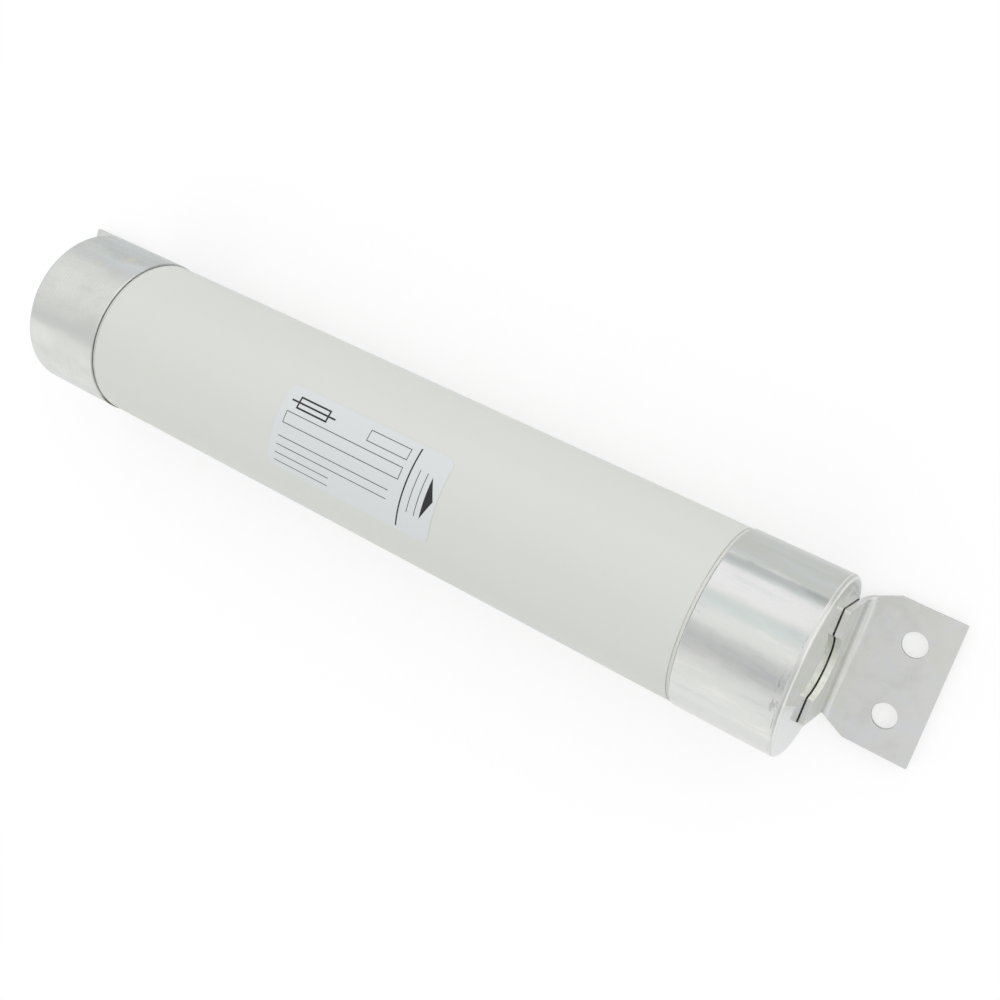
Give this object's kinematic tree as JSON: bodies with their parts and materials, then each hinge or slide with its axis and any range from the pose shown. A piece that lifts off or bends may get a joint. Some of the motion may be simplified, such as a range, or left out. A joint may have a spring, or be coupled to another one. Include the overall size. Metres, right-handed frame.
{
  "type": "high-voltage fuse link",
  "caption": "Tag-fixing high-voltage fuse link: ceramic barrel, plated end caps, two-hole L tags, ribbons wound on a star former in sand, and a spring-loaded striker.",
  "frame": {"origin": "middle of the barrel, on its axis", "axes": "+X along the barrel towards the striker end, -Z towards the tag blades, +Y across the blades"},
  "size_m": [0.485, 0.0772, 0.0772],
  "materials": {
    "glazed_ceramic": "satin off-white glaze",
    "plated_cap": "tin-plated copper, drawn and polished",
    "plated_tag": "tin-plated copper sheet, satin",
    "inner_copper": "drawn copper, bright",
    "gasket": "matte synthetic rubber",
    "braze": "dull brazing alloy",
    "label": "white coated paper",
    "core_ceramic": "unglazed porcelain",
    "silver": "rolled silver ribbon",
    "tin": "cast tin bead",
    "brass": "machined brass",
    "sand": "packed quartz sand",
    "steel": "turned steel",
    "spring_steel": "hard-drawn spring wire",
    "resistance_wire": "drawn nickel-chrome wire"
  },
  "bodies": {
    "fuse": {"ceramic_barrel": "glazed_ceramic", "collectors": "brass", "element_former": "core_ceramic", "filling_plug": "brass", "fuse_element_a": "silver", "fuse_element_b": "silver", "gaskets": "gasket", "inner_caps": "inner_copper", "label": "label", "outer_caps": "plated_cap", "quartz_sand": "sand", "striker_bush": "brass", "striker_housing": "brass", "striker_spring": "spring_steel", "striker_wire": "resistance_wire", "tag_brazes": "braze", "tag_left": "plated_tag", "tag_right": "plated_tag", "tin_bead_a": "tin", "tin_bead_b": "tin", "wire_anchor": "brass"},
    "striker": {"striker_pin": "steel", "striker_seal": "plated_cap"}
  },
  "joints": [
    {"name": "striker_slide", "type": "slide", "parent": "fuse", "child": "striker", "axis": [1, 0, 0], "range_m": [0, 0.025], "deforming": ["striker_spring"]}
  ]
}
